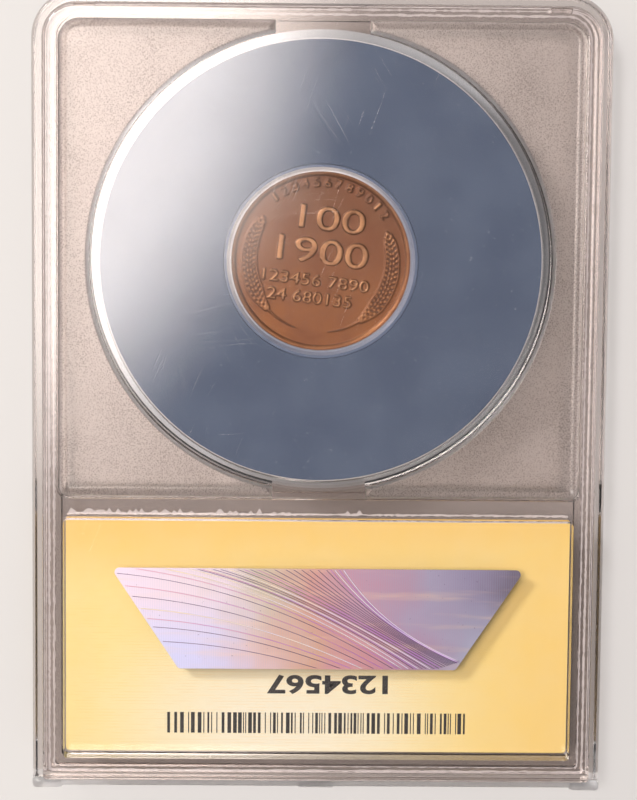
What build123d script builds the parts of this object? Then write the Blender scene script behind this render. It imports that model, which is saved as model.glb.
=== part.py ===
from build123d import *
import os

# A graded coin slab: two clear shells welded round a disc that holds a coin, with a printed
# label in a compartment of its own. Millimetres. X runs across the slab, +Y points at the coin
# end and +Z out of the back. The slab rests on its front ridge at z = 0.

# Slab
slab_width = 60.3
slab_length = 84.1
slab_thickness = 7.9  # over both stacking ridges
coin_corner = 4.8  # outer corner radius at the coin end
label_corner = 1.0  # outer corner radius at the label end
least_corner = 0.4  # smallest radius of any nested outline

# Seam between the shells
wrap_wall = 1.15  # wall of the front shell that stands round the back shell
wrap_rise = 1.65  # how far that wall stands above the seam
seat_clearance = 0.05  # between the back shell and that wall
seam_gap = 0.04  # between the two seam faces
tongue_inset = 1.65  # slab's edge to the outside of the weld tongue
tongue_width = 0.7
tongue_depth = 0.7
groove_clearance = 0.1  # round and under the tongue

# Faces of the shells
window_recess = 0.9  # top of the ridge down to the coin window
window_plate = 1.3
pocket_depth = 1.0  # coin window's face down to the floor of the frosted pockets
pocket_plate = 1.2
pocket_fillet = 0.92
label_recess = 2.2  # top of the ridge down to the label window
back_ridge_inset = 2.75  # slab's edge to the inside of the back ridge
back_ridge_round = 0.55
ridge_edge_round = 0.25
front_ridge_width = 0.8
stack_clearance = 0.15  # front ridge of one slab inside the back ridge of the next
pocket_corner = 2.2
divider_corner = 1.0
bridge_half = 4.9  # half the width left clear between the coin window and the ridge
shelf = 0.1  # inside of the ridge to the top of the pocket's wall
hollow_margin = 0.5  # pocket's wall outside to the hollow's wall inside

# Coin, gasket and disc
coin_diameter = 19.05
coin_thickness = 1.52
coin_rim = 0.7
coin_field_drop = 0.15
coin_edge_round = 0.12
coin_clearance = 0.05
gasket_wall = 0.55
gasket_lip = 0.22  # how far each lip stands in from the gasket's bore
gasket_lip_height = 0.35
gasket_mouth = 0.25  # chamfer at the gasket's open ends
disc_diameter = 46.3
disc_clearance = 0.1
disc_edge_round = 0.2
ring_wall = 0.85  # shell's rib round the disc
ring_slope = 0.9  # spread of the coin window's edge down to the pocket floor
ring_to_end = 3.7  # rib to the coin end of the slab

# Label and sticker
divider_width = 2.3
bridge_length = 0.75  # rib to the divider
label_side_rim = 3.4  # slab's side to the label window
label_end_rim = 3.7
label_thickness = 0.35
label_clearance = 0.05
sticker_long = 43.8
sticker_short = 29.4
sticker_height = 10.8
sticker_drop = 5.4  # label window's top edge to the sticker
sticker_corner = 0.5
sticker_thickness = 0.1
sticker_gap = 0.02  # adhesive

# Lugs, feet and marks of the front shell
lug_x = 24.6
lug_width = 2.1
lug_reach = 0.75
foot_width = 3.1
foot_rise = 0.35  # above the wrap wall
tab_width = 3.7
lip_relief = 0.2  # label end set back between the feet
front_edge_round = 0.8
wrap_edge_round = 0.35
ejector_diameter = 0.9
ejector_x = 22.6
ejector_height = 0.1

# Heights from the slab's middle plane, the same for both shells
half_thickness = slab_thickness / 2
seam_level = seam_gap / 2
window_level = half_thickness - window_recess
disc_level = window_level - window_plate
pocket_level = window_level - pocket_depth
hollow_level = pocket_level - pocket_plate
label_level = half_thickness - label_recess
card_level = label_thickness / 2 + label_clearance

# Places across and along the slab
half_width = slab_width / 2
half_length = slab_length / 2
ring_radius = disc_diameter / 2 + disc_clearance + ring_wall
coin_y = half_length - ring_to_end - ring_radius
divider_top = coin_y - ring_radius - bridge_length
label_top = divider_top - divider_width
label_bottom = label_end_rim - half_length
label_side = half_width - label_side_rim
back_inset = wrap_wall + seat_clearance
front_ridge_inset = back_ridge_inset + stack_clearance
gasket_bore = coin_diameter / 2 + coin_clearance
gasket_outer = gasket_bore + gasket_wall
disc_half = disc_level - disc_clearance

back = 1
front = -1


def height(out, level):
    """The z of a height measured from the middle plane towards the back or the front."""
    return half_thickness + out * level


def slab_outline(inset):
    """The slab's outline, set in by a distance."""
    with BuildSketch() as outline:
        Rectangle(slab_width - 2 * inset, slab_length - 2 * inset)
        coin_end = outline.vertices().group_by(Axis.Y)[-1]
        fillet(coin_end, max(coin_corner - inset, least_corner))
        label_end = outline.vertices().group_by(Axis.Y)[0]
        fillet(label_end, max(label_corner - inset, least_corner))
    return outline.sketch


def box_outline(left, right, bottom, top, corner=0.0):
    """A rectangle between four edges."""
    with BuildSketch() as outline:
        with Locations(((left + right) / 2, (bottom + top) / 2)):
            Rectangle(right - left, top - bottom)
        if corner > 0:
            fillet(outline.vertices(), corner)
    return outline.sketch


def circle_outline(radius):
    """A circle round the coin's axis."""
    with BuildSketch() as outline:
        with Locations((0, coin_y)):
            Circle(radius)
    return outline.sketch


def ring_outline(outer, inner):
    """The band between two outlines."""
    with BuildSketch() as outline:
        add(outer)
        add(inner, mode=Mode.SUBTRACT)
    return outline.sketch


def coin_field_outline(inset):
    """The opening inside the ridge round the coin window and its pockets."""
    with BuildSketch() as outline:
        add(slab_outline(inset))
        below = box_outline(-slab_width, slab_width, -slab_length, divider_top)
        add(below, mode=Mode.SUBTRACT)
        fillet(outline.vertices().group_by(Axis.Y)[0], divider_corner)
    return outline.sketch


def label_outline(inset):
    """The label window, set in by a distance."""
    return box_outline(
        inset - label_side, label_side - inset, label_bottom + inset, label_top - inset, least_corner
    )


def pocket_outline(side, inset):
    """One frosted pocket, before the coin window's ring is put back through it."""
    near, far = side * bridge_half, side * (half_width - inset)
    with BuildSketch() as outline:
        bottom, top = divider_top + shelf, half_length - inset
        add(box_outline(min(near, far), max(near, far), bottom, top))
        fillet(outline.vertices().sort_by_distance((far, top))[0], pocket_corner)
        fillet(outline.vertices().sort_by_distance((far, bottom))[0], divider_corner)
    return outline.sketch


def hollow_outline(side, inset):
    """The hollow inside the shell behind one pocket."""
    near, far = side * bridge_half, side * (half_width - inset)
    with BuildSketch() as outline:
        bottom, top = divider_top + hollow_margin, half_length - inset
        add(box_outline(min(near, far), max(near, far), bottom, top))
        add(circle_outline(ring_radius), mode=Mode.SUBTRACT)
    return outline.sketch


def sticker_outline():
    """A trapezium that narrows towards the label end."""
    top = label_top - sticker_drop
    with BuildSketch() as outline:
        with BuildLine():
            Polyline(
                (-sticker_long / 2, top),
                (sticker_long / 2, top),
                (sticker_short / 2, top - sticker_height),
                (-sticker_short / 2, top - sticker_height),
                close=True,
            )
        make_face()
        fillet(outline.vertices(), sticker_corner)
    return outline.sketch


def block(profile, out, low, high, mode=Mode.ADD):
    """Extrudes a profile between two heights from the middle plane."""
    with BuildSketch(Plane.XY.offset(height(out, low))) as section:
        add(profile)
    extrude(section.sketch, amount=out * (high - low), mode=mode)


def level_edges(shell, out, level):
    """The shell's edges that lie flat at one height."""
    z = height(out, level)
    return shell.edges().filter_by_position(Axis.Z, z - 0.001, z + 0.001)


def coin_window(out):
    """The raised round window, whose edge eases down to the pockets' floor."""
    face, floor, inside = (height(out, level) for level in (window_level, pocket_level, hollow_level))
    with BuildSketch(Plane.XZ.offset(-coin_y)) as section:
        with BuildLine():
            Polyline(
                (ring_radius + ring_slope, floor - out * ridge_edge_round),
                (ring_radius + ring_slope, inside),
                (0, inside),
                (0, face),
                (ring_radius, face),
            )
            Spline(
                (ring_radius, face),
                (ring_radius + ring_slope, floor - out * ridge_edge_round),
                tangents=((0.35, -out), (1, -0.35 * out)),
            )
        make_face()
    revolve(section.sketch, axis=Axis((0, coin_y, 0), (0, 0, 1)))


def shell_face(shell, out, ridge_inset):
    """The windows, pockets and compartments that both shells share."""
    inset = ridge_inset + shelf
    for side in (-1, 1):
        block(pocket_outline(side, inset), out, pocket_level, window_level, Mode.SUBTRACT)
    fillet(level_edges(shell, out, pocket_level), pocket_fillet)
    coin_window(out)
    for side in (-1, 1):
        hollow = hollow_outline(side, inset + hollow_margin)
        block(hollow, out, seam_level, hollow_level, Mode.SUBTRACT)
    disc_pocket = circle_outline(disc_diameter / 2 + disc_clearance)
    block(disc_pocket, out, seam_level, disc_level, Mode.SUBTRACT)
    block(label_outline(0), out, label_level, half_thickness, Mode.SUBTRACT)
    block(label_outline(0), out, seam_level, card_level, Mode.SUBTRACT)


# Back shell: sits inside the front shell's wall, with the weld tongue under its rim
with BuildPart() as back_shell:
    block(slab_outline(back_inset), back, seam_level, half_thickness)
    fillet(level_edges(back_shell, back, half_thickness), back_ridge_round)
    block(coin_field_outline(back_ridge_inset), back, window_level, half_thickness, Mode.SUBTRACT)
    shell_face(back_shell, back, back_ridge_inset)
    tongue = ring_outline(slab_outline(tongue_inset), slab_outline(tongue_inset + tongue_width))
    block(tongue, back, seam_level - tongue_depth, seam_level)
    for side in (-1, 1):
        notch = box_outline(
            side * lug_x - lug_width / 2 - seat_clearance,
            side * lug_x + lug_width / 2 + seat_clearance,
            half_length - wrap_wall - lug_reach - seat_clearance,
            half_length,
        )
        block(notch, back, seam_level - tongue_depth, wrap_rise + seat_clearance, Mode.SUBTRACT)
back_shell.part.label = "back_shell"

# Front shell: the tray that the back shell drops into
with BuildPart() as front_shell:
    block(slab_outline(0), front, -wrap_rise, window_level)
    fillet(level_edges(front_shell, front, window_level), front_edge_round)
    fillet(level_edges(front_shell, front, -wrap_rise), wrap_edge_round)
    block(slab_outline(wrap_wall), front, -wrap_rise, seam_level, Mode.SUBTRACT)
    ridge_outside = slab_outline(front_ridge_inset)
    block(ridge_outside, front, window_level, half_thickness)
    fillet(level_edges(front_shell, front, half_thickness), ridge_edge_round)
    field = coin_field_outline(front_ridge_inset + front_ridge_width)
    block(field, front, window_level, half_thickness, Mode.SUBTRACT)
    shell_face(front_shell, front, front_ridge_inset + front_ridge_width)
    groove = ring_outline(
        slab_outline(tongue_inset - groove_clearance),
        slab_outline(tongue_inset + tongue_width + groove_clearance),
    )
    block(groove, front, seam_level, tongue_depth + groove_clearance, Mode.SUBTRACT)
    for side in (-1, 1):
        lug = box_outline(
            side * lug_x - lug_width / 2,
            side * lug_x + lug_width / 2,
            half_length - wrap_wall - lug_reach,
            half_length - wrap_wall,
        )
        block(lug, front, -wrap_rise, tongue_depth + groove_clearance)
        relief = box_outline(
            min(side * tab_width / 2, side * (half_width - foot_width)),
            max(side * tab_width / 2, side * (half_width - foot_width)),
            -half_length,
            lip_relief - half_length,
        )
        block(relief, front, -wrap_rise, window_level, Mode.SUBTRACT)
        foot = box_outline(
            min(side * (half_width - foot_width), side * half_width),
            max(side * (half_width - foot_width), side * half_width),
            -half_length,
            wrap_wall - half_length,
            least_corner,
        )
        block(foot, front, -wrap_rise - foot_rise, window_level - front_edge_round)
        with BuildSketch(Plane.XY.offset(height(front, -wrap_rise))) as mark:
            with Locations((side * ejector_x, (wrap_wall + lip_relief) / 2 - half_length)):
                Circle(ejector_diameter / 2)
        extrude(mark.sketch, amount=ejector_height)
front_shell.part.label = "front_shell"

# Insert disc: fills the round compartment
with BuildPart() as insert_disc:
    block(circle_outline(disc_diameter / 2), back, -disc_half, disc_half)
    fillet(insert_disc.edges(), disc_edge_round)
    disc_hole = circle_outline(gasket_outer + coin_clearance)
    block(disc_hole, back, -disc_half, disc_half, Mode.SUBTRACT)
insert_disc.part.label = "insert_disc"

# Gasket: a soft ring whose two lips hold the coin by its edge
with BuildPart() as coin_gasket:
    lip_low = coin_thickness / 2 + coin_clearance
    lip_high = lip_low + gasket_lip_height
    block(circle_outline(gasket_outer), back, -disc_half, disc_half)
    block(circle_outline(gasket_bore), back, -disc_half, disc_half, Mode.SUBTRACT)
    mouths = level_edges(coin_gasket, back, disc_half) + level_edges(coin_gasket, front, disc_half)
    chamfer(mouths.filter_by(lambda edge: edge.radius < gasket_outer - 0.001), gasket_mouth)
    lip = ring_outline(circle_outline(gasket_bore), circle_outline(gasket_bore - gasket_lip))
    for out in (front, back):
        block(lip, out, lip_low, lip_high)
coin_gasket.part.label = "coin_gasket"

# Coin: a plain blank with raised rims
with BuildPart() as coin:
    block(circle_outline(coin_diameter / 2), back, -coin_thickness / 2, coin_thickness / 2)
    fillet(coin.edges().filter_by(GeomType.CIRCLE), coin_edge_round)
    field = circle_outline(coin_diameter / 2 - coin_rim)
    for out in (front, back):
        low = coin_thickness / 2 - coin_field_drop
        block(field, out, low, coin_thickness / 2, Mode.SUBTRACT)
coin.part.label = "coin"

# Label card: one card, printed on both sides
with BuildPart() as label_card:
    block(label_outline(label_clearance), back, -label_thickness / 2, label_thickness / 2)
label_card.part.label = "label_card"

# Hologram sticker: on the outside of the back label window
with BuildPart() as hologram_sticker:
    low = label_level + sticker_gap
    block(sticker_outline(), back, low, low + sticker_thickness)
hologram_sticker.part.label = "hologram_sticker"

os.makedirs("parts", exist_ok=True)
for piece in (back_shell, front_shell, insert_disc, coin_gasket, coin, label_card, hologram_sticker):
    export_step(piece.part, f"parts/{piece.part.label}.step")
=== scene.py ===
import math
import random

import bmesh
import bpy
from mathutils import Euler, Matrix, Vector
from mathutils.bvhtree import BVHTree
from mathutils.geometry import interpolate_bezier


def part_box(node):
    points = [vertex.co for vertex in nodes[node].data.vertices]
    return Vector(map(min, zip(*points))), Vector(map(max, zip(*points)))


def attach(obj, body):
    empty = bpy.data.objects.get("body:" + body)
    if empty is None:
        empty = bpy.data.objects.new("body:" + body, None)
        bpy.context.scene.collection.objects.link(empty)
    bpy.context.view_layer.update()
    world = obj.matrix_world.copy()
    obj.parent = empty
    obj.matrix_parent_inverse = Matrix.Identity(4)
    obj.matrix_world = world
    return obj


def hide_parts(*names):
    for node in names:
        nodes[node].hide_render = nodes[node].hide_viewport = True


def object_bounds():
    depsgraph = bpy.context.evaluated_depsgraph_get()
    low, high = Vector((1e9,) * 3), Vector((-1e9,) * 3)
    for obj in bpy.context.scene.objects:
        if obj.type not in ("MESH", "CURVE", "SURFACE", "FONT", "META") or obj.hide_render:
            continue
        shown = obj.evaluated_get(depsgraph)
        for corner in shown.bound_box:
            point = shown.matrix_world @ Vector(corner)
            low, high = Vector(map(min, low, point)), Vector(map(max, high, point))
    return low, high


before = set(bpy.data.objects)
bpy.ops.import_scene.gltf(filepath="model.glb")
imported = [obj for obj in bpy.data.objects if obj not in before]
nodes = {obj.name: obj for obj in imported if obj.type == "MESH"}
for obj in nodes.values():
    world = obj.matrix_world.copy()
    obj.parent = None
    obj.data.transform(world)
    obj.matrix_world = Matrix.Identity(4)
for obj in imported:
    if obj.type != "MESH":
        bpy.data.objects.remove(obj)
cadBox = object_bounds()

scene = bpy.context.scene
scene.view_settings.view_transform = "Standard"

mm = 0.001
slabLow, slabHigh = cadBox
coinLow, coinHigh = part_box("coin")
discLow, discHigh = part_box("insert_disc")
cardLow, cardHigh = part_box("label_card")
stickerLow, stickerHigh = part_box("hologram_sticker")
midZ = (slabLow.z + slabHigh.z) / 2
coinCentre = (coinLow + coinHigh) / 2
coinRadius = (coinHigh.x - coinLow.x) / 2
discRadius = (discHigh.x - discLow.x) / 2


# ---- small helpers for shader trees

def tone(red, green, blue):
    # a screen colour, 0 to 255, as the linear colour a shader wants
    def linear(value):
        share = value / 255
        return share / 12.92 if share <= 0.04045 else ((share + 0.055) / 1.055) ** 2.4
    return (linear(red), linear(green), linear(blue), 1.0)


def feed(tree, socket, value):
    if isinstance(value, bpy.types.NodeSocket):
        tree.links.new(value, socket)
    else:
        socket.default_value = value


def addNode(tree, kind, inputs=None, **settings):
    node = tree.nodes.new(kind)
    for name, value in settings.items():
        setattr(node, name, value)
    for name, value in (inputs or {}).items():
        feed(tree, node.inputs[name], value)
    return node


def maths(tree, operation, first, second=0.0, third=0.0):
    return addNode(tree, "ShaderNodeMath", {0: first, 1: second, 2: third}, operation=operation).outputs[0]


def fade(tree, value, start, end, low=0.0, high=1.0):
    # smooth step between two values
    node = addNode(tree, "ShaderNodeMapRange", {0: value, 1: start, 2: end, 3: low, 4: high})
    node.interpolation_type = "SMOOTHSTEP"
    return node.outputs[0]


def mixColour(tree, factor, first, second, blend="MIX"):
    node = tree.nodes.new("ShaderNodeMix")
    node.data_type = "RGBA"
    node.blend_type = blend
    feed(tree, node.inputs[0], factor)
    feed(tree, node.inputs[6], first)
    feed(tree, node.inputs[7], second)
    return node.outputs[2]


def mixValue(tree, factor, first, second):
    node = tree.nodes.new("ShaderNodeMix")
    feed(tree, node.inputs[0], factor)
    feed(tree, node.inputs[2], first)
    feed(tree, node.inputs[3], second)
    return node.outputs[0]


def colourRamp(tree, factor, stops):
    node = addNode(tree, "ShaderNodeValToRGB", {0: factor})
    ramp = node.color_ramp
    while len(ramp.elements) < len(stops):
        ramp.elements.new(0.5)
    for element, (place, colour) in zip(ramp.elements, stops):
        element.position = place
        element.color = colour
    return node.outputs[0]


def noise(tree, vector, scale, detail=2.0, roughness=0.5):
    inputs = {"Vector": vector, "Scale": scale, "Detail": detail, "Roughness": roughness}
    return addNode(tree, "ShaderNodeTexNoise", inputs).outputs[0]


def objectPlace(tree):
    return addNode(tree, "ShaderNodeTexCoord").outputs["Object"]


def split(tree, vector):
    return addNode(tree, "ShaderNodeSeparateXYZ", {0: vector}).outputs


def moved(tree, vector, centre=(0, 0, 0), turn=0.0, stretch=(1, 1, 1)):
    # centre goes to the origin, then the pattern turns about Z and stretches
    shift = addNode(tree, "ShaderNodeVectorMath", {0: vector, 1: centre}, operation="SUBTRACT").outputs[0]
    spots = {"Vector": shift, "Rotation": (0, 0, turn), "Scale": stretch}
    return addNode(tree, "ShaderNodeMapping", spots).outputs[0]


def distance(tree, vector):
    return addNode(tree, "ShaderNodeVectorMath", {0: vector}, operation="LENGTH").outputs["Value"]


def aboutAxis(tree, place):
    # the level offset from the coin's axis
    return moved(tree, place, coinCentre, stretch=(1, 1, 0))


def bump(tree, height, strength, depth):
    inputs = {"Height": height, "Strength": strength, "Distance": depth}
    return addNode(tree, "ShaderNodeBump", inputs).outputs[0]


def newMaterial(name):
    material = bpy.data.materials.new(name)
    material.use_nodes = True
    material.node_tree.nodes.clear()
    return material, material.node_tree


def principled(tree, **inputs):
    named = {name.replace("_", " "): value for name, value in inputs.items()}
    return addNode(tree, "ShaderNodeBsdfPrincipled", named)


def show(tree, shader):
    output = addNode(tree, "ShaderNodeOutputMaterial")
    tree.links.new(shader.outputs[0], output.inputs[0])


# ---- shared effects

def newGroup(name, inputs, outputs):
    tree = bpy.data.node_groups.new(name, "ShaderNodeTree")
    for title, kind, value in inputs:
        socket = tree.interface.new_socket(title, in_out="INPUT", socket_type=kind)
        if value is not None:
            socket.default_value = value
    for title in outputs:
        tree.interface.new_socket(title, in_out="OUTPUT", socket_type="NodeSocketFloat")
    return tree, tree.nodes.new("NodeGroupInput").outputs, tree.nodes.new("NodeGroupOutput").inputs


def makeGrain():
    # spark-eroded or matte grain: rounded pits of one size with a coarser drift
    inputs = [("Vector", "NodeSocketVector", None), ("Size", "NodeSocketFloat", 0.0002)]
    tree, given, wanted = newGroup("surfaceGrain", inputs, ["Height", "Drift"])
    scale = maths(tree, "DIVIDE", 1.0, given["Size"])
    fine = noise(tree, given["Vector"], scale, 2.0, 0.6)
    pits = addNode(tree, "ShaderNodeTexVoronoi", {"Vector": given["Vector"], "Scale": scale})
    feed(tree, wanted["Height"], mixValue(tree, 0.5, fine, pits.outputs["Distance"]))
    feed(tree, wanted["Drift"], noise(tree, given["Vector"], maths(tree, "DIVIDE", scale, 30.0), 3.0))
    return tree


def makeScratches():
    # long hair scratches in three directions
    inputs = [("Vector", "NodeSocketVector", None), ("Spacing", "NodeSocketFloat", 0.002),
              ("Width", "NodeSocketFloat", 0.05)]
    tree, given, wanted = newGroup("hairScratches", inputs, ["Mask"])
    scale = maths(tree, "DIVIDE", 1.0, given["Spacing"])
    mask = 0.0
    for turn in (0.35, 1.5, 2.6):
        turned = {"Vector": given["Vector"], "Rotation": (0, 0, turn)}
        along = addNode(tree, "ShaderNodeMapping", turned).outputs[0]
        drawnOut = {"Vector": along, "Scale": (1.0, 0.06, 1.0)}
        long = addNode(tree, "ShaderNodeMapping", drawnOut).outputs[0]
        ridge = maths(tree, "ABSOLUTE", maths(tree, "SUBTRACT", noise(tree, long, scale, 1.0), 0.5))
        line = fade(tree, ridge, given["Width"], 0.0)
        broken = fade(tree, noise(tree, along, maths(tree, "MULTIPLY", scale, 0.35), 1.0), 0.56, 0.66)
        mask = maths(tree, "MAXIMUM", mask, maths(tree, "MULTIPLY", line, broken))
    feed(tree, wanted["Mask"], mask)
    return tree


surfaceGrain = makeGrain()
hairScratches = makeScratches()


def useGroup(tree, group, **inputs):
    node = addNode(tree, "ShaderNodeGroup", {}, node_tree=group)
    for name, value in inputs.items():
        feed(tree, node.inputs[name], value)
    return node.outputs


print("helpers ready")


# ---- materials

shellFinish = {
    "windowTint": tone(250, 250, 251),
    "rimTint": tone(224, 216, 212),
    "frostPale": tone(240, 230, 224),
    "frostDeep": tone(142, 130, 124),
    "lampTint": tone(251, 251, 252),
    "polish": 0.035,
    "frost": 0.38,
    "slopeFrost": 0.32,       # the matte slope round the coin window, and the lip at the label end
    "lipDepth": 1.15 * mm,
    "ior": 1.57,
    "ringStart": 0.95 * mm,   # past the disc
    "ringEnd": 1.5 * mm,
    "slopeEnd": 1.9 * mm,
    "bridgeHalf": 4.9 * mm,
    "pocketEdge": 2.85 * mm,  # in from the slab's side
    "pocketFoot": -10.6 * mm,
    "pocketFloor": 1.95 * mm,  # out from the middle
    "pocketTop": 3.03 * mm,
    "labelSide": 3.4 * mm,    # slab's side to the label window
    "labelTop": -12.9 * mm,
    "grainSize": 0.16 * mm,
    "grainDepth": 0.03 * mm,
}


def allOf(tree, masks):
    mask = masks[0]
    for other in masks[1:]:
        mask = maths(tree, "MULTIPLY", mask, other)
    return mask


def pocketMask(tree, place, look):
    # 1 on the frosted pockets of either face, 0 on the polished windows and ridges
    x, y, z = split(tree, place)
    radius = distance(tree, aboutAxis(tree, place))
    across = maths(tree, "ABSOLUTE", x)
    out = maths(tree, "ABSOLUTE", maths(tree, "SUBTRACT", z, midZ))
    soft = 0.03 * mm
    pocketSide = slabHigh.x - look["pocketEdge"]
    return allOf(tree, [
        fade(tree, radius, discRadius + look["ringStart"], discRadius + look["ringEnd"]),
        fade(tree, across, look["bridgeHalf"] - soft, look["bridgeHalf"] + soft),
        fade(tree, across, pocketSide, pocketSide - soft),
        fade(tree, y, look["pocketFoot"], look["pocketFoot"] + soft),
        fade(tree, out, look["pocketFloor"], look["pocketFloor"] + soft),
        fade(tree, out, look["pocketTop"], look["pocketTop"] - soft),
    ])


def slopeMask(tree, place, look):
    # 1 on the sloping band that steps down from the coin window to the pockets
    z = split(tree, place)[2]
    radius = distance(tree, aboutAxis(tree, place))
    out = maths(tree, "ABSOLUTE", maths(tree, "SUBTRACT", z, midZ))
    start, end = discRadius + look["ringStart"], discRadius + look["slopeEnd"]
    low, high = look["pocketFloor"], look["pocketTop"] - 0.1 * mm
    soft = 0.04 * mm
    return allOf(tree, [
        fade(tree, radius, start, start + soft),
        fade(tree, radius, end + soft, end),
        fade(tree, out, high + soft, high),
        fade(tree, out, low, low + soft),
    ])


def windowMask(tree, place, look):
    # 1 over the coin window and the label window, where the walls are thin and clearest
    x, y = split(tree, place)[:2]
    radius = distance(tree, aboutAxis(tree, place))
    soft = 0.15 * mm
    edge = discRadius + look["ringStart"]
    coinWindow = fade(tree, radius, edge, edge - soft)
    labelSide = slabHigh.x - look["labelSide"]
    labelWindow = allOf(tree, [
        fade(tree, maths(tree, "ABSOLUTE", x), labelSide, labelSide - soft),
        fade(tree, y, look["labelTop"], look["labelTop"] - soft),
        fade(tree, y, cardLow.y, cardLow.y + soft),
    ])
    return maths(tree, "MAXIMUM", coinWindow, labelWindow)


def letLampsThrough(tree, shader, tint):
    # lamps and bounced light pass straight through, so that what is inside stays lit
    path = addNode(tree, "ShaderNodeLightPath").outputs
    clear = addNode(tree, "ShaderNodeBsdfTransparent", {0: tint}).outputs[0]
    bounces = {0: path["Is Diffuse Ray"], 1: shader.outputs[0], 2: clear}
    bounced = addNode(tree, "ShaderNodeMixShader", bounces).outputs[0]
    return addNode(tree, "ShaderNodeMixShader", {0: path["Is Shadow Ray"], 1: bounced, 2: clear})


def makeClearPlastic(look):
    material, tree = newMaterial("clearStyrene")
    place = objectPlace(tree)
    frosted = pocketMask(tree, place, look)
    eroded = useGroup(tree, surfaceGrain, Vector=place, Size=look["grainSize"])
    scratched = useGroup(tree, hairScratches, Vector=place, Spacing=2.6 * mm, Width=0.012)["Mask"]
    handled = noise(tree, place, 90.0, 3.0)
    polished = mixValue(tree, fade(tree, handled, 0.35, 0.75), look["polish"], look["polish"] * 2.2)
    polished = mixValue(tree, scratched, polished, 0.08)
    slope = slopeMask(tree, place, look)
    lipEdge = slabLow.y + look["lipDepth"]
    lip = fade(tree, split(tree, place)[1], lipEdge, lipEdge - 0.05 * mm)
    matte = maths(tree, "MAXIMUM", slope, lip)
    polished = mixValue(tree, matte, polished, look["slopeFrost"])
    frost = mixValue(tree, eroded["Drift"], look["frost"] * 0.8, look["frost"])
    rough = mixValue(tree, frosted, polished, frost)
    frostLevel = maths(tree, "ADD", eroded["Height"], maths(tree, "MULTIPLY", eroded["Drift"], 0.25))
    frostColour = mixColour(tree, fade(tree, frostLevel, 0.36, 0.74), look["frostDeep"], look["frostPale"])
    grained = maths(tree, "MAXIMUM", frosted, maths(tree, "MULTIPLY", matte, 0.6))
    height = mixValue(tree, grained, maths(tree, "MULTIPLY", scratched, -0.06), eroded["Height"])
    clearest = maths(tree, "MAXIMUM", windowMask(tree, place, look), matte)
    tint = mixColour(tree, clearest, look["rimTint"], look["windowTint"])
    shader = principled(
        tree,
        Base_Color=mixColour(tree, frosted, tint, frostColour),
        Roughness=rough,
        IOR=look["ior"],
        Transmission_Weight=1.0,
        Normal=bump(tree, height, 0.6, look["grainDepth"]),
    )
    show(tree, letLampsThrough(tree, shader, look["lampTint"]))
    return material


discFinish = {
    "colour": tone(64, 75, 96),
    "pale": tone(76, 87, 107),
    "speck": tone(140, 148, 160),
    # painted highlight: a pale band round the disc's rim, standing in for the reflection off its chamfer
    "edge": tone(226, 218, 214),
    "edgeHighlightWidth": 0.13 * mm,
}


def makeDiscMaterial(look):
    material, tree = newMaterial("blueInsert")
    place = objectPlace(tree)
    matte = useGroup(tree, surfaceGrain, Vector=place, Size=0.22 * mm)
    colour = mixColour(tree, fade(tree, matte["Drift"], 0.3, 0.7), look["colour"], look["pale"])
    specks = fade(tree, noise(tree, place, 2600.0, 1.0), 0.72, 0.78)
    colour = mixColour(tree, maths(tree, "MULTIPLY", specks, 0.35), colour, look["speck"])
    # painted highlight along the disc's rim
    radius = distance(tree, aboutAxis(tree, place))
    start = discRadius - look["edgeHighlightWidth"]
    colour = mixColour(tree, fade(tree, radius, start, start + 0.02 * mm), colour, look["edge"])
    rough = mixValue(tree, matte["Height"], 0.55, 0.75)
    shader = principled(tree, Base_Color=colour, Roughness=rough,
                        Normal=bump(tree, matte["Height"], 0.12, 0.01 * mm))
    show(tree, shader)
    return material


gasketFinish = {
    "lip": tone(232, 224, 220),     # painted highlight on the side of the clear ring toward the lamp
    "lipShade": tone(128, 132, 146),
    "land": tone(78, 90, 114),
    "cloud": tone(150, 152, 166),
}


def makeGasketMaterial(look):
    material, tree = newMaterial("milkyGasket")
    place = objectPlace(tree)
    fromAxis = aboutAxis(tree, place)
    radius = distance(tree, fromAxis)
    land = fade(tree, radius, coinRadius + 0.27 * mm, coinRadius + 0.33 * mm)
    cloud = noise(tree, place, 700.0, 3.0)
    x, y = split(tree, fromAxis)[:2]
    # painted light: the lip is paler toward the upper-left, where the key lamp stands, and painted shade
    # away from it
    glowTowardLamp = maths(tree, "DIVIDE", maths(tree, "SUBTRACT", y, x), radius)
    colour = mixColour(tree, fade(tree, glowTowardLamp, -0.4, 1.2), look["lipShade"], look["lip"])
    colour = mixColour(tree, fade(tree, cloud, 0.35, 0.8, 0.0, 0.4), colour, look["cloud"])
    colour = mixColour(tree, land, colour, look["land"])
    shader = principled(
        tree,
        Base_Color=colour,
        Roughness=mixValue(tree, cloud, 0.3, 0.5),
        Coat_Weight=0.4,
        Coat_Roughness=0.15,
        Normal=bump(tree, cloud, 0.2, 0.02 * mm),
    )
    show(tree, shader)
    return material


cardFinish = {
    "warm": tone(255, 228, 144),
    "deep": tone(255, 208, 108),
    # cream for the paper's fibres and for the painted highlight
    "fibreAndHighlightCream": tone(255, 242, 212),
    "lineSpacing": 0.32 * mm,
}


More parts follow.
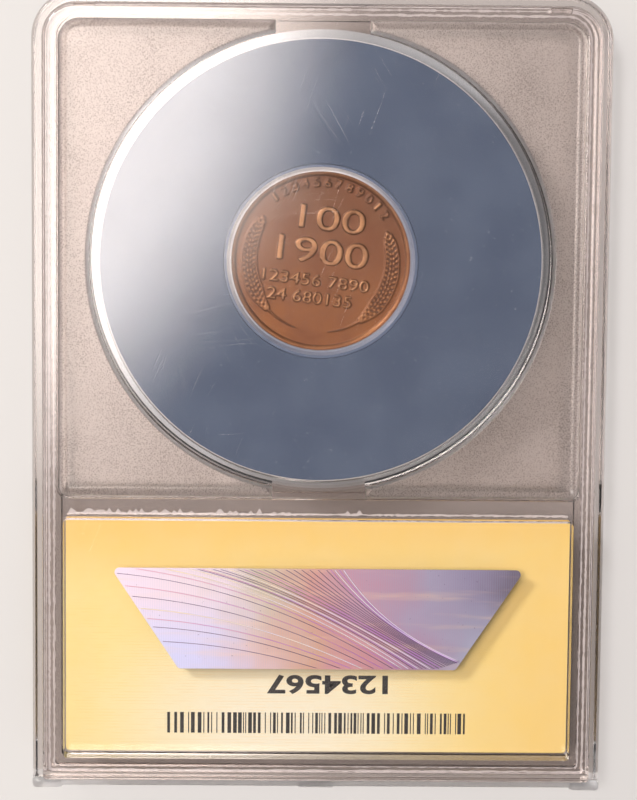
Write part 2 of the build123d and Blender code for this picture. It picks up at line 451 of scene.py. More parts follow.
def makeCardMaterial(look):
    material, tree = newMaterial("labelStock")
    place = objectPlace(tree)
    x, y = split(tree, place)[:2]
    middle = (cardLow + cardHigh) / 2
    halfWidth = (cardHigh.x - cardLow.x) / 2
    # painted highlight: paler to the bottom middle; deeper along the top and the right
    highlightCentre = (middle.x - 4 * mm, cardLow.y + 3 * mm, middle.z)
    fromHighlight = moved(tree, place, highlightCentre, stretch=(0.75, 1.25, 0))
    away = distance(tree, fromHighlight)
    colour = mixColour(tree, fade(tree, away, 2 * mm, 19 * mm), look["fibreAndHighlightCream"], look["warm"])
    toTop = fade(tree, y, cardHigh.y - 9 * mm, cardHigh.y)
    toSide = fade(tree, x, middle.x + halfWidth * 0.2, middle.x + halfWidth)
    toEdges = maths(tree, "MAXIMUM", toTop, maths(tree, "MULTIPLY", toSide, 0.8))
    colour = mixColour(tree, toEdges, colour, look["deep"])
    # printed screen: fine level lines broken into short dashes
    turn = 2 * math.pi / look["lineSpacing"]
    lines = fade(tree, maths(tree, "SINE", maths(tree, "MULTIPLY", y, turn)), 0.3, 1.0)
    dashes = noise(tree, moved(tree, place, stretch=(0.25, 1, 1)), 2200.0, 1.0)
    screen = maths(tree, "MULTIPLY", lines, fade(tree, dashes, 0.35, 0.6))
    colour = mixColour(tree, maths(tree, "MULTIPLY", screen, 0.3), colour, look["deep"])
    fibre = useGroup(tree, surfaceGrain, Vector=place, Size=0.12 * mm)
    colour = mixColour(tree, maths(tree, "MULTIPLY", fibre["Drift"], 0.18), colour, look["fibreAndHighlightCream"])
    shader = principled(
        tree,
        Base_Color=colour,
        Roughness=mixValue(tree, fibre["Height"], 0.55, 0.8),
        Normal=bump(tree, fibre["Height"], 0.15, 0.01 * mm),
    )
    show(tree, shader)
    return material


def makeInkMaterial():
    material, tree = newMaterial("printInk")
    place = objectPlace(tree)
    mottle = noise(tree, place, 5200.0, 2.0)
    colour = mixColour(tree, fade(tree, mottle, 0.4, 0.75), tone(20, 14, 10), tone(44, 32, 24))
    shader = principled(tree, Base_Color=colour, Roughness=mixValue(tree, mottle, 0.45, 0.65))
    show(tree, shader)
    return material


def stickerShares(tree, place):
    # 0 to 1 across and up the sticker
    x, y = split(tree, place)[:2]
    across = addNode(tree, "ShaderNodeMapRange", {0: x, 1: stickerLow.x, 2: stickerHigh.x}).outputs[0]
    up = addNode(tree, "ShaderNodeMapRange", {0: y, 1: stickerLow.y, 2: stickerHigh.y}).outputs[0]
    return across, up


def makeFoilMaterial():
    material, tree = newMaterial("hologramFoil")
    place = objectPlace(tree)
    across, up = stickerShares(tree, place)
    drift = noise(tree, place, 160.0, 3.0)
    slanted = maths(tree, "ADD", across, maths(tree, "MULTIPLY", maths(tree, "SUBTRACT", drift, 0.5), 0.25))
    upper = colourRamp(tree, slanted, [
        (0.0, tone(228, 208, 226)), (0.22, tone(226, 206, 216)), (0.36, tone(198, 182, 160)),
        (0.5, tone(200, 146, 136)), (0.62, tone(184, 140, 160)), (0.76, tone(162, 150, 176)),
        (0.9, tone(142, 130, 158)), (1.0, tone(108, 94, 112))])
    lower = colourRamp(tree, slanted, [
        (0.0, tone(206, 206, 240)), (0.22, tone(208, 204, 238)), (0.34, tone(216, 186, 190)),
        (0.48, tone(206, 160, 138)), (0.6, tone(200, 138, 148)), (0.72, tone(174, 134, 162)),
        (0.85, tone(166, 160, 184)), (1.0, tone(178, 178, 200))])
    risen = maths(tree, "ADD", up, maths(tree, "MULTIPLY", drift, 0.2))
    colour = mixColour(tree, fade(tree, risen, 0.2, 0.95), lower, upper)
    # streaks that run with the sweep, and a fine vertical ruling
    streaks = noise(tree, moved(tree, place, turn=0.5, stretch=(0.1, 1, 1)), 900.0, 3.0)
    colour = mixColour(tree, fade(tree, streaks, 0.5, 0.8, 0.0, 0.45), colour, tone(236, 200, 170))
    ruling = maths(tree, "SINE", maths(tree, "MULTIPLY", split(tree, place)[0], 2 * math.pi / (0.24 * mm)))
    colour = mixColour(tree, fade(tree, ruling, -1.0, 1.0, 0.0, 0.14), colour, tone(150, 170, 190))
    specks = fade(tree, noise(tree, place, 3400.0, 1.0), 0.74, 0.8)
    colour = mixColour(tree, maths(tree, "MULTIPLY", specks, 0.5), colour, tone(110, 90, 120))
    shader = principled(
        tree,
        Base_Color=colour,
        Metallic=mixValue(tree, streaks, 0.15, 0.5),
        Roughness=mixValue(tree, drift, 0.28, 0.48),
        Normal=bump(tree, streaks, 0.08, 0.02 * mm),
    )
    show(tree, shader)
    return material


def makeLineMaterial(name, first, second, metal):
    # one colour of the sticker's sweep lines, drifting from the left to the right
    material, tree = newMaterial(name)
    place = objectPlace(tree)
    across = stickerShares(tree, place)[0]
    drift = noise(tree, place, 400.0, 2.0)
    colour = mixColour(tree, fade(tree, maths(tree, "ADD", across, drift), 0.4, 1.3), first, second)
    rough = mixValue(tree, drift, 0.25, 0.45)
    shader = principled(tree, Base_Color=colour, Metallic=metal, Roughness=rough)
    show(tree, shader)
    return material


coinFinish = {
    "field": tone(110, 62, 30),
    "gold": tone(134, 80, 34),
    "grey": tone(94, 62, 42),
    "worn": tone(158, 112, 74),
    # dark for the grain and for the painted shade at the base of the relief
    "grainAndShadeDark": tone(56, 32, 18),
    "metal": 0.55,
    # painted shade: the rim keeps less of the worn colour, as it lies in the shade of the gasket
    "shadedRimWear": 0.3,
}


def makeCoinMaterial(look, drop):
    material, tree = newMaterial("brownBronze")
    place = objectPlace(tree)
    y, z = split(tree, place)[1:]
    patina = noise(tree, place, 260.0, 4.0, 0.6)
    clouded = maths(tree, "ADD", y, maths(tree, "MULTIPLY", patina, 9 * mm))
    toned = fade(tree, clouded, coinCentre.y - 4 * mm, coinCentre.y + 14 * mm)
    colour = mixColour(tree, toned, look["gold"], look["grey"])
    colour = mixColour(tree, fade(tree, patina, 0.3, 0.7, 0.2, 0.85), colour, look["field"])
    fine = useGroup(tree, surfaceGrain, Vector=place, Size=0.11 * mm)
    colour = mixColour(tree, fade(tree, fine["Height"], 0.25, 0.6, 0.0, 0.22), colour, look["grainAndShadeDark"])
    out = maths(tree, "ABSOLUTE", maths(tree, "SUBTRACT", z, coinCentre.z))
    field = (coinHigh.z - coinLow.z) / 2 - drop
    # painted shade at the base of the relief, bare metal worn through on top of it
    baseShade = maths(tree, "MULTIPLY", fade(tree, out, field + 0.003 * mm, field + 0.014 * mm),
                 fade(tree, out, field + 0.06 * mm, field + 0.03 * mm))
    raised = fade(tree, out, field + 0.05 * mm, field + 0.12 * mm)
    radius = distance(tree, aboutAxis(tree, place))
    onRim = fade(tree, radius, coinRadius - 0.8 * mm, coinRadius - 0.7 * mm)
    rubbed = fade(tree, noise(tree, place, 900.0, 3.0), 0.3, 0.6, 0.35, 0.85)
    # painted shade on the rim, by less wear colour there
    wear = allOf(tree, [raised, rubbed, mixValue(tree, onRim, 1.0, look["shadedRimWear"])])
    # painted shade at the base of the relief
    colour = mixColour(tree, maths(tree, "MULTIPLY", baseShade, 0.6), colour, look["grainAndShadeDark"])
    colour = mixColour(tree, wear, colour, look["worn"])
    scratched = useGroup(tree, hairScratches, Vector=place, Spacing=0.8 * mm, Width=0.02)["Mask"]
    rough = mixValue(tree, wear, mixValue(tree, patina, 0.42, 0.58), 0.36)
    height = maths(tree, "SUBTRACT", fine["Height"], maths(tree, "MULTIPLY", scratched, 0.6))
    shader = principled(tree, Base_Color=colour, Metallic=look["metal"], Roughness=rough,
                        Normal=bump(tree, height, 0.25, 0.01 * mm))
    show(tree, shader)
    return material


def makeWeldMaterial():
    material, tree = newMaterial("weldFlash")
    place = objectPlace(tree)
    lumps = noise(tree, place, 2400.0, 2.0)
    colour = mixColour(tree, lumps, tone(214, 206, 204), tone(250, 246, 244))
    shader = principled(tree, Base_Color=colour, Roughness=mixValue(tree, lumps, 0.4, 0.7),
                        Normal=bump(tree, lumps, 0.6, 0.03 * mm))
    show(tree, shader)
    return material


coinDrop = 0.15 * mm
clearStyrene = makeClearPlastic(shellFinish)
blueInsert = makeDiscMaterial(discFinish)
milkyGasket = makeGasketMaterial(gasketFinish)
labelStock = makeCardMaterial(cardFinish)
printInk = makeInkMaterial()
hologramFoil = makeFoilMaterial()
brownBronze = makeCoinMaterial(coinFinish, coinDrop)
weldWhite = makeWeldMaterial()

for nodeName, material in (
    ("back_shell", clearStyrene), ("front_shell", clearStyrene), ("insert_disc", blueInsert),
    ("coin_gasket", milkyGasket), ("label_card", labelStock), ("hologram_sticker", hologramFoil),
):
    for materialSlot in nodes[nodeName].material_slots:
        materialSlot.material = material
print("materials on the CAD nodes")


# ---- mesh helpers

def finishPiece(name, form, material, smooth=True):
    mesh = bpy.data.meshes.new(name)
    form.to_mesh(mesh)
    form.free()
    mesh.materials.append(material)
    if smooth:
        mesh.shade_smooth()
    else:
        mesh.shade_flat()
    piece = bpy.data.objects.new(name, mesh)
    scene.collection.objects.link(piece)
    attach(piece, "root")
    return piece


def placing(x, y, z, turn=0.0, scale=(1, 1, 1)):
    return Matrix.Translation((x, y, z)) @ Matrix.Rotation(turn, 4, "Z") @ Matrix.Diagonal((*scale, 1))


def textForm(form, words, width, height, depth, place, bold=0.0, edge=0.0):
    # plain figures, fitted to a width and a height about the origin, then put in place
    curve = bpy.data.curves.new("figures", "FONT")
    curve.body = words
    curve.size = 1.0
    curve.offset = bold
    curve.extrude = 0.5
    curve.bevel_depth = edge
    holder = bpy.data.objects.new("figures", curve)
    scene.collection.objects.link(holder)
    depsgraph = bpy.context.evaluated_depsgraph_get()
    mesh = bpy.data.meshes.new_from_object(holder.evaluated_get(depsgraph))
    low = Vector([min(vert.co[axis] for vert in mesh.vertices) for axis in range(3)])
    high = Vector([max(vert.co[axis] for vert in mesh.vertices) for axis in range(3)])
    size = high - low
    fit = Matrix.Diagonal((width / size.x, height / size.y, depth / size.z, 1))
    mesh.transform(place @ fit @ Matrix.Translation(-(low + high) / 2))
    form.from_mesh(mesh)
    bmesh.ops.remove_doubles(form, verts=form.verts, dist=0.001 * mm)
    bmesh.ops.recalc_face_normals(form, faces=form.faces)
    bpy.data.objects.remove(holder)
    bpy.data.curves.remove(curve)
    bpy.data.meshes.remove(mesh)


def boxForm(form, left, right, bottom, top, low, high):
    size = (right - left, top - bottom, high - low)
    place = Matrix.Translation(((left + right) / 2, (bottom + top) / 2, (low + high) / 2))
    bmesh.ops.create_cube(form, size=1.0, matrix=place @ Matrix.Diagonal((*size, 1)))


def tubeForm(form, points, radius, flat=1.0, sides=6, taper=None):
    # a tube along points, squashed in Z about its own height
    curve = bpy.data.curves.new("line", "CURVE")
    curve.dimensions = "3D"
    curve.bevel_depth = radius
    curve.bevel_resolution = max(0, sides // 2 - 2)
    curve.use_fill_caps = True
    spline = curve.splines.new("POLY")
    spline.points.add(len(points) - 1)
    for number, (spot, point) in enumerate(zip(spline.points, points)):
        spot.co = (*point, 1)
        spot.radius = 1.0 if taper is None else taper(number / (len(points) - 1))
    holder = bpy.data.objects.new("line", curve)
    scene.collection.objects.link(holder)
    depsgraph = bpy.context.evaluated_depsgraph_get()
    mesh = bpy.data.meshes.new_from_object(holder.evaluated_get(depsgraph))
    level = points[0][2]
    mesh.transform(Matrix.Translation((0, 0, level)) @ Matrix.Diagonal((1, 1, flat, 1))
                   @ Matrix.Translation((0, 0, -level)))
    form.from_mesh(mesh)
    bpy.data.objects.remove(holder)
    bpy.data.curves.remove(curve)
    bpy.data.meshes.remove(mesh)


# ---- coin

coinShape = {
    "turn": -7.0,        # degrees, how the strike sits in the slab
    "rimWidth": 0.5,
    "edgeRound": 0.12,
    "steps": 480,
    "fieldRings": 118,
    "relief": 0.13,
    # words, width, height, across, up
    "backLines": [("100", 6.9, 2.5, 0.65, 4.45), ("1900", 9.5, 2.65, 0.1, 0.95),
                  ("123456 7890", 11.2, 1.22, -0.25, -2.1), ("24 680135", 8.9, 1.22, -0.7, -3.95)],
    "arcFigures": "123456789012",
    "arcRadius": 8.2,
    "sprigRadius": 7.5,
    "sprigHalf": 0.78,
    "sprigFrom": -49.0,  # degrees from the level line through the coin
    "sprigTo": 31.0,
    "sprigRows": 20,
    "petals": 16,        # long and short by turns
    "ringRadius": 6.6,
    "beads": 48,
    "beadRadius": 8.0,
    "frontTurn": 0.3,    # radians
}


def dome(form, x, y, length, width, height, turn=0.0):
    place = placing(x * mm, y * mm, 0, turn, (length * mm, width * mm, height * mm))
    bmesh.ops.create_icosphere(form, subdivisions=2, radius=1.0, matrix=place)


def ringPoints(radius, start, end, count, level=0.0):
    angles = [math.radians(start + (end - start) * step / count) for step in range(count + 1)]
    return [(radius * mm * math.cos(angle), radius * mm * math.sin(angle), level) for angle in angles]


def sprig(form, side, look):
    # a curved ear: four lanes of small grains between two outlines that meet at the tip
    rows, half = look["sprigRows"], look["sprigHalf"]
    low, high = look["sprigFrom"], look["sprigTo"]

    def widthAt(share):
        return half * (1.0 - 0.45 * share ** 4) * min(1.0, 0.35 + share * 3.0)

    for row in range(rows):
        for lane in (-0.66, -0.22, 0.22, 0.66):
            share = (row + (0.5 if abs(lane) < 0.5 else 0.0)) / rows
            angle = math.radians(low + (high - low) * share)
            radius = look["sprigRadius"] + lane * widthAt(share)
            x, y = side * radius * math.cos(angle), radius * math.sin(angle)
            turn = math.pi / 2 + angle - lane * 0.9
            turn = turn if side > 0 else math.pi - turn
            dome(form, x, y, 0.23, 0.15, look["relief"] * 0.95, turn)
    for way in (-1, 1):
        line = []
        for step in range(33):
            share = step / 32
            closing = 1.0 if share < 0.9 else (1.0 - share) * 10
            radius = look["sprigRadius"] + way * widthAt(share) * closing
            angle = math.radians(high + (low - high) * (1 - share))
            line.append((side * radius * mm * math.cos(angle), radius * mm * math.sin(angle), 0.0))
        tubeForm(form, line, 0.09 * mm, 1.0, 8)
    stem = ringPoints(look["sprigRadius"], low + 1, low - 28, 14)
    stem = [(side * x, y, z) for x, y, z in stem]
    tubeForm(form, stem, 0.1 * mm, 1.0, 8, lambda share: 1.0 - 0.4 * share)


def makeBackStamp(look):
    form = bmesh.new()
    for words, width, height, x, y in look["backLines"]:
        textForm(form, words, width * mm, height * mm, look["relief"] * 2 * mm,
                 placing(x * mm, y * mm, 0), edge=0.006)
    for side in (-1, 1):
        sprig(form, side, look)
    figures = look["arcFigures"]
    for number, figure in enumerate(figures):
        angle = math.radians(88 - (number - (len(figures) - 1) / 2) * 8.2)
        radius = look["arcRadius"] * mm
        place = placing(radius * math.cos(angle), radius * math.sin(angle), 0, angle - math.pi / 2)
        width = 0.3 if figure == "1" else 0.62
        textForm(form, figure, width * mm, 0.95 * mm, look["relief"] * 1.7 * mm, place)
    bmesh.ops.transform(form, matrix=Matrix.Rotation(math.radians(look["turn"]), 4, "Z"), verts=form.verts)
    return form


def makeFrontStamp(look):
    # a plain rosette inside beads
    form = bmesh.new()
    for number in range(look["petals"]):
        angle = math.radians(360 / look["petals"] * number)
        reach, long = (3.1, 2.1) if number % 2 == 0 else (4.1, 1.3)
        dome(form, reach * math.cos(angle), reach * math.sin(angle), long, 0.5, look["relief"], angle)
    dome(form, 0, 0, 1.0, 1.0, look["relief"] * 1.2)
    radius = look["beadRadius"]
    for number in range(look["beads"]):
        angle = math.radians(360 / look["beads"] * number)
        dome(form, radius * math.cos(angle), radius * math.sin(angle), 0.26, 0.26, look["relief"] * 0.8)
    tubeForm(form, ringPoints(look["ringRadius"], 0, 360, 96), 0.12 * mm, 0.8, 8)
    return form


def strike(form, stamp, side, fieldLevel, fieldRadius):
    # lifts the blank's face onto the stamp, then softens it as worn metal
    stampTree = BVHTree.FromBMesh(stamp)
    face = [vert for vert in form.verts if vert.co.z * side > 0 and vert.co.xy.length < fieldRadius]
    for vert in face:
        found = stampTree.ray_cast(Vector((vert.co.x, vert.co.y, mm)), Vector((0, 0, -1)))[0]
        if found is not None and found.z > 0:
            vert.co.z = side * (fieldLevel + found.z)
    for _ in range(2):
        bmesh.ops.smooth_vert(form, verts=face, factor=0.4, use_axis_z=True)
    stamp.free()


def makeCoin(look):
    half = (coinHigh.z - coinLow.z) / 2
    radius, drop = coinRadius, coinDrop
    rim, edge = look["rimWidth"] * mm, look["edgeRound"] * mm
    fieldRadius = radius - rim - 0.2 * mm
    outline = [
        (0, half - drop), (fieldRadius, half - drop), (radius - rim - 0.08 * mm, half - drop * 0.7),
        (radius - rim, half - drop * 0.2), (radius - rim + 0.1 * mm, half), (radius - edge, half),
        (radius - edge * 0.3, half - edge * 0.3), (radius, half - edge),
    ]
    form = bmesh.new()
    points = outline + [(r, -z) for r, z in reversed(outline)]
    verts = [form.verts.new((r, 0, z)) for r, z in points]
    edges = [form.edges.new(pair) for pair in zip(verts, verts[1:])]
    bmesh.ops.subdivide_edges(form, edges=[edges[0]], cuts=look["fieldRings"])
    bmesh.ops.subdivide_edges(form, edges=[edges[len(points) - 2]], cuts=look["fieldRings"] // 2)
    bmesh.ops.spin(form, geom=form.verts[:] + form.edges[:], axis=(0, 0, 1), cent=(0, 0, 0),
                   angle=2 * math.pi, steps=look["steps"], use_merge=True)
    bmesh.ops.remove_doubles(form, verts=form.verts, dist=0.0005 * mm)
    bmesh.ops.recalc_face_normals(form, faces=form.faces)
    strike(form, makeBackStamp(look), 1, half - drop, fieldRadius)
    front = makeFrontStamp(look)
    bmesh.ops.transform(front, matrix=Matrix.Rotation(look["frontTurn"], 4, "Z"), verts=front.verts)
    strike(form, front, -1, half - drop, fieldRadius)
    bmesh.ops.translate(form, verts=form.verts, vec=coinCentre)
    piece = finishPiece("coinStruck", form, brownBronze)
    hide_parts("coin")


makeCoin(coinShape)
print("coin struck")


# ---- label print

labelPrint = {
    "number": "1234567",
    "numberCentre": (1.15, -31.0),
    "numberSize": (12.9, 2.1),
    "barcodeCentre": (0.2, -35.2),
    "barcodeSize": (32.2, 2.25),
    "barcodeSeed": 11,
    "ink": 0.008,
    "bold": 0.016,       # how far the figures' outline is pushed out, as a share of their size
    "numberEdge": 0.012,
    "frontBarcodeUp": 8.0,
    "frontBarcodeSize": (34.0, 2.4),
    # words, width, height, across, and from the card's middle toward the slab's end
    "frontLines": [("1900", 13.0, 4.0, -15.0, 6.5), ("63", 8.6, 6.2, 16.5, 5.0),
                   ("1234567", 15.0, 2.3, -14.0, -1.5)],
}


def barcodeForm(form, centre, size, low, high, seed):
    draw = random.Random(seed)
    bottom, top = (centre[1] - size[1] / 2) * mm, (centre[1] + size[1] / 2) * mm
    left = centre[0] - size[0] / 2
    end = left + size[0]
    while left < end - 0.1:
        width = draw.choice((0.11, 0.11, 0.2, 0.3, 0.4))
        right = min(left + width, end)
        boxForm(form, left * mm, right * mm, bottom, top, low, high)
        left = right + draw.choice((0.13, 0.2, 0.2, 0.32, 0.45))


def makeLabelPrint(look):
    ink = look["ink"] * mm
    low, high = cardHigh.z + 0.001 * mm, cardHigh.z + 0.001 * mm + ink
    form = bmesh.new()
    x, y = look["numberCentre"]
    width, height = look["numberSize"]
    place = placing(x * mm, y * mm, (low + high) / 2, math.pi)
    textForm(form, look["number"], width * mm, height * mm, ink, place, look["bold"], look["numberEdge"])
    finishPiece("labelNumber", form, printInk, smooth=False)
    form = bmesh.new()
    barcodeForm(form, look["barcodeCentre"], look["barcodeSize"], low, high, look["barcodeSeed"])
    finishPiece("labelBarcode", form, printInk, smooth=False)
    # the front of the card reads the right way up with the label end above the coin
    low, high = cardLow.z - 0.001 * mm - ink, cardLow.z - 0.001 * mm
    form = bmesh.new()
    middle = (cardLow.y + cardHigh.y) / 2
    flip = Matrix.Rotation(math.pi, 4, "X")
    for words, width, height, x, toEnd in look["frontLines"]:
        place = Matrix.Translation((x * mm, middle - toEnd * mm, (low + high) / 2)) @ flip
        textForm(form, words, width * mm, height * mm, ink, place, look["bold"])
    centre = (0, middle / mm + look["frontBarcodeUp"])
    barcodeForm(form, centre, look["frontBarcodeSize"], low, high, look["barcodeSeed"] + 1)
    finishPiece("labelFrontPrint", form, printInk, smooth=False)


makeLabelPrint(labelPrint)
print("label printed")


# ---- sticker sweep lines

# four points of each guide, in mm from the middle of the sticker's long edge
sweep = {
    "low": ((-23.0, -7.9), (-10.0, -7.4), (-2.5, -9.8), (6.0, -12.6)),
    "middle": ((-23.0, 1.4), (-10.0, 0.2), (0.5, -4.6), (10.5, -11.4)),
    "high": ((2.4, 0.4), (5.0, -3.6), (8.6, -7.2), (15.2, -9.9)),
    "dark": (0.0, 0.09, 0.27, 0.4, 0.56, 0.63, 0.66, 0.72, 0.76, 0.8, 0.83, 0.86, 0.88, 0.9,
             0.92, 0.94, 0.96),
    "bright": (0.2, 0.47, 0.52, 0.6, 0.69, 0.98, 1.0),
    "pink": (0.14, 0.33, 0.44, 0.58, 0.74, 0.78, 0.97, 0.99),
    "darkWidth": 0.035,
    "brightWidth": 0.05,
    "longEdge": 43.8,    # of the sticker, before its corners are rounded
    "shortEdge": 29.4,
    "inset": 0.12,       # how far inside the edges the lines end
}


def sweepPoint(look, share, number):
    low, middle, high = (Vector(look[name][number]) for name in ("low", "middle", "high"))
    if share < 0.5:
        return low.lerp(middle, share * 2)
    return middle.lerp(high, share * 2 - 1)


def sweepForm(form, look, shares, radius):
    top = stickerHigh.y
    centre = (stickerLow.x + stickerHigh.x) / 2
    for share in shares:
        spots = [sweepPoint(look, share, number) for number in range(4)]
        knots = [Vector((centre + spot.x * mm, top + spot.y * mm, stickerHigh.z)) for spot in spots]
        line = interpolate_bezier(*knots, 28)
        tubeForm(form, [tuple(point) for point in line], radius * mm, 0.25, 4)


def trimToSticker(form, look):
    # cuts the lines off at the four edges of the sticker and caps them
    half = (stickerHigh.x - stickerLow.x) / 2
    inset = look["inset"] * mm
    lean = (look["shortEdge"] - look["longEdge"]) / 2 * mm
    height = stickerHigh.y - stickerLow.y
    for side in (-1, 1):
        normal = Vector((side * height, lean, 0)).normalized()
        # the rounded corner stops 0.3 mm short of the sharp one
        edge = Vector((side * (half + 0.3 * mm), stickerHigh.y, 0)) - normal * inset
        geometry = form.verts[:] + form.edges[:] + form.faces[:]
        bmesh.ops.bisect_plane(form, geom=geometry, plane_co=edge, plane_no=normal, clear_outer=True)
    for y, way in ((stickerHigh.y - inset, 1), (stickerLow.y + inset, -1)):
        geometry = form.verts[:] + form.edges[:] + form.faces[:]
        bmesh.ops.bisect_plane(form, geom=geometry, plane_co=(0, y, 0), plane_no=(0, way, 0),
                               clear_outer=True)
    bmesh.ops.remove_doubles(form, verts=form.verts, dist=0.0005 * mm)
    bmesh.ops.holes_fill(form, edges=form.edges, sides=0)
    bmesh.ops.recalc_face_normals(form, faces=form.faces)


for lineName, lineShares, lineWidth, lineMaterial in (
    ("sweepDark", sweep["dark"], sweep["darkWidth"],
     makeLineMaterial("sweepDark", tone(150, 130, 160), tone(92, 72, 104), 0.2)),
    ("sweepBright", sweep["bright"], sweep["brightWidth"],
     makeLineMaterial("sweepBright", tone(255, 236, 200), tone(236, 226, 244), 0.1)),
    ("sweepPink", sweep["pink"], sweep["darkWidth"],
     makeLineMaterial("sweepPink", tone(236, 170, 190), tone(196, 130, 220), 0.3)),
):
    lineForm = bmesh.new()
    sweepForm(lineForm, sweep, lineShares, lineWidth)
    trimToSticker(lineForm, sweep)
    finishPiece(lineName, lineForm, lineMaterial)
print("sticker lines laid")


# ---- weld flash

weld = {
    "lines": [(1.64, 0.2, 3), (2.14, 0.22, 5)],  # inset, width, seed, both under the tongue
    "level": 3.22,
    "thickness": 0.05,
    "step": 0.3,
    "jitter": 0.06,
    "coinCorner": 4.8,
    "labelCorner": 1.0,
    "ribCentre": -12.55,  # the line along the rib over the label
    "ribHalf": 26.4,
    "ribWidth": 0.16,
    "ribSpread": 0.5,     # how far the blotches at its left end reach
    "ribLevel": 3.95,
    "ribThickness": 0.026,
}


def roundedLoop(form, inset, look):
    # a filled outline of the slab, set in, with its corners rounded
    half = Vector((slabHigh.x - inset, slabHigh.y - inset))
    made = bmesh.ops.create_grid(form, x_segments=1, y_segments=1, size=1.0)["verts"]
    bmesh.ops.scale(form, vec=(half.x, half.y, 1), verts=made)
    for corner, ends in ((look["coinCorner"], 1), (look["labelCorner"], -1)):
        radius = max(corner * mm - inset, 0.4 * mm)
        verts = [vert for vert in form.verts if vert.co.y * ends > half.y - 0.01 * mm
                 and abs(vert.co.x) > half.x - 0.01 * mm]
        bmesh.ops.bevel(form, geom=verts, offset=radius, offset_type="OFFSET", segments=6, profile=0.5,
                        affect="VERTICES", material=-1)


def thicken(ring, level, thickness):
    bmesh.ops.translate(ring, verts=ring.verts, vec=(0, 0, (level - thickness / 2) * mm))
    grown = bmesh.ops.extrude_face_region(ring, geom=ring.faces[:])["geom"]
    lifted = [item for item in grown if isinstance(item, bmesh.types.BMVert)]
    bmesh.ops.translate(ring, verts=lifted, vec=(0, 0, thickness * mm))
    bmesh.ops.recalc_face_normals(ring, faces=ring.faces)


def addTo(form, ring):
    joined = bpy.data.meshes.new("ring")
    ring.to_mesh(joined)
    ring.free()
    form.from_mesh(joined)
    bpy.data.meshes.remove(joined)


def ribFlash(look):
    # a thin ragged strip, with blotches toward its left end
    strip = bmesh.new()
    bmesh.ops.create_grid(strip, x_segments=170, y_segments=1, size=1.0)
    draw = random.Random(8)
    for vert in strip.verts:
        share = (vert.co.x + 1) / 2
        reach = look["ribWidth"] * draw.uniform(0.2, 1.0)
        if vert.co.y > 0 and draw.random() < 0.7 * (1 - share) ** 2:
            reach += look["ribSpread"] * draw.uniform(0.2, 1.0)
        way = 1 if vert.co.y > 0 else -1
        vert.co = Vector((vert.co.x * look["ribHalf"], look["ribCentre"] + reach * way, 0)) * mm
    thicken(strip, look["ribLevel"], look["ribThickness"])
    return strip


def makeWeldFlash(look):
    form = bmesh.new()
    for inset, width, seed in look["lines"]:
        ring = bmesh.new()
        roundedLoop(ring, inset * mm, look)
        band = bmesh.ops.inset_region(ring, faces=ring.faces[:], thickness=width * mm, use_boundary=True,
                                      use_even_offset=True)["faces"]
        inner = [face for face in ring.faces if face not in band]
        bmesh.ops.delete(ring, geom=inner, context="FACES_ONLY")
        for _ in range(8):
            long = [edge for edge in ring.edges if edge.calc_length() > look["step"] * 1.6 * mm]
            if not long:
                break
            bmesh.ops.subdivide_edges(ring, edges=long, cuts=1, use_grid_fill=True)
        draw = random.Random(seed)
        for vert in ring.verts:
            shift = look["jitter"] * mm
            vert.co += Vector((draw.uniform(-shift, shift), draw.uniform(-shift, shift), 0))
        thicken(ring, look["level"], look["thickness"])
        addTo(form, ring)
    addTo(form, ribFlash(look))
    finishPiece("weldFlash", form, weldWhite, smooth=False)


makeWeldFlash(weld)
print("weld flash in the seam")


# ---- stage: camera, floor, lamps

cameraView = {
    "place": (-0.0043, 0.0352, 0.3),
    "turn": (-6.89, -0.75, 0.55),
    "lens": 159.65,
}

cameraData = bpy.data.cameras.new("camera")
cameraData.sensor_fit = "HORIZONTAL"
cameraData.sensor_width = 36.0
cameraData.lens = cameraView["lens"]
cameraData.clip_start = 0.01
camera = bpy.data.objects.new("camera", cameraData)
camera.location = cameraView["place"]
camera.rotation_euler = Euler([math.radians(angle) for angle in cameraView["turn"]], "XYZ")
scene.collection.objects.link(camera)
scene.camera = camera

floorLook = {
    "half": 3.0,
    "drop": 0.02 * mm,   # below the slab's feet
    "tones": (tone(214, 212, 209), tone(220, 218, 216)),
    "rough": 0.9,
}

floorForm = bmesh.new()
bmesh.ops.create_grid(floorForm, x_segments=1, y_segments=1, size=floorLook["half"])
floorMesh = bpy.data.meshes.new("floor")
floorForm.to_mesh(floorMesh)
floorForm.free()
floorMaterial, floorTree = newMaterial("paleFloor")
floorDrift = noise(floorTree, objectPlace(floorTree), 6.0, 2.0)
floorColour = mixColour(floorTree, floorDrift, *floorLook["tones"])
show(floorTree, principled(floorTree, Base_Color=floorColour, Roughness=floorLook["rough"]))
floorMesh.materials.append(floorMaterial)
floor = bpy.data.objects.new("floor", floorMesh)
floor.location.z = slabLow.z - floorLook["drop"]
scene.collection.objects.link(floor)

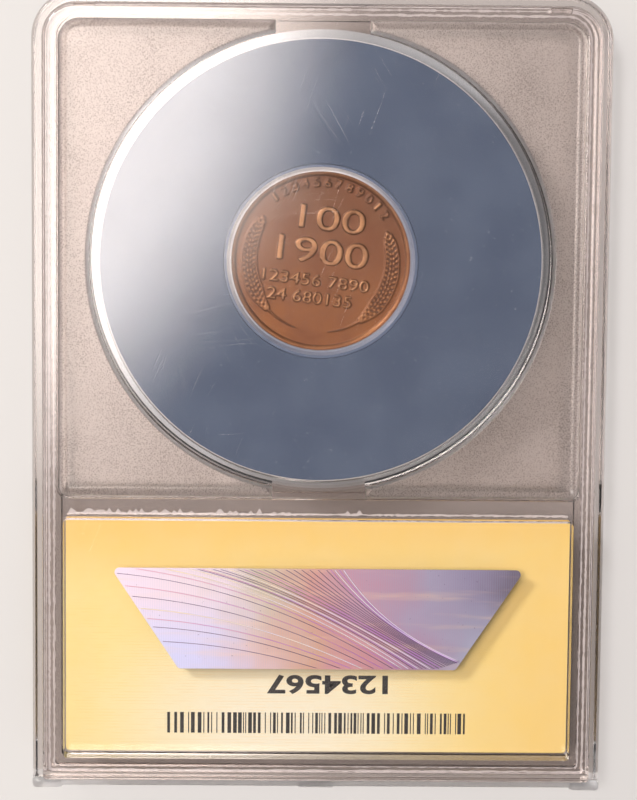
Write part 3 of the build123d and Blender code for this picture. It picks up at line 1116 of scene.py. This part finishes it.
lamps = {
    "softboxPlace": (-0.174, 0.07, 0.555),
    "softboxRadius": 0.2,
    "softboxGlow": 8.3,  # brightness of its face, where 1 is white
    "softboxTint": tone(255, 245, 238)[:3],
    "softboxSolid": 0.36,  # share of its width, from the middle, before it starts to fade
    "keyPlace": (-0.45, 0.35, 0.5),
    "keySize": 0.14,
    "keyPower": 2.9,
    "fillPlace": (0.45, -0.35, 0.5),
    "fillSize": 0.5,
    "fillPower": 0.8,
    "skyTint": tone(252, 252, 255),
    "skyLow": 0.5,       # strength round the horizon
    "skyHigh": 0.1,      # strength overhead
}


def addSoftbox(look):
    # a round softbox whose glow fades to its rim
    data = bpy.data.lights.new("softbox", "AREA")
    data.shape = "DISK"
    data.size = look["softboxRadius"] * 2
    data.color = look["softboxTint"]
    data.energy = look["softboxGlow"] * math.pi * math.pi * look["softboxRadius"] ** 2
    data.use_nodes = True
    tree = data.node_tree
    glow = tree.nodes["Emission"]
    spread = addNode(tree, "ShaderNodeNewGeometry").outputs["Parametric"]
    fromMiddle = addNode(tree, "ShaderNodeVectorMath", {0: spread, 1: (0.5, 0.5, 0)}, operation="DISTANCE")
    feed(tree, glow.inputs["Strength"], fade(tree, fromMiddle.outputs["Value"], 0.5, look["softboxSolid"]))
    lamp = bpy.data.objects.new("softbox", data)
    lamp.location = look["softboxPlace"]
    scene.collection.objects.link(lamp)


def addLamp(look, name):
    # a square lamp turned to face the slab
    data = bpy.data.lights.new(name, "AREA")
    data.size = look[name + "Size"]
    data.energy = look[name + "Power"]
    lamp = bpy.data.objects.new(name, data)
    lamp.location = look[name + "Place"]
    lamp.rotation_euler = lamp.location.to_track_quat("Z", "Y").to_euler()
    scene.collection.objects.link(lamp)


def addWorld(look):
    # pale round the horizon, dimmer overhead
    world = bpy.data.worlds.new("studio")
    world.use_nodes = True
    tree = world.node_tree
    up = split(tree, addNode(tree, "ShaderNodeTexCoord").outputs["Generated"])[2]
    strength = fade(tree, up, 0.1, 0.8, look["skyLow"], look["skyHigh"])
    glow = tree.nodes["Background"]
    glow.inputs["Color"].default_value = look["skyTint"]
    feed(tree, glow.inputs["Strength"], strength)
    scene.world = world


addSoftbox(lamps)
addLamp(lamps, "key")
addLamp(lamps, "fill")
addWorld(lamps)
print("stage set")
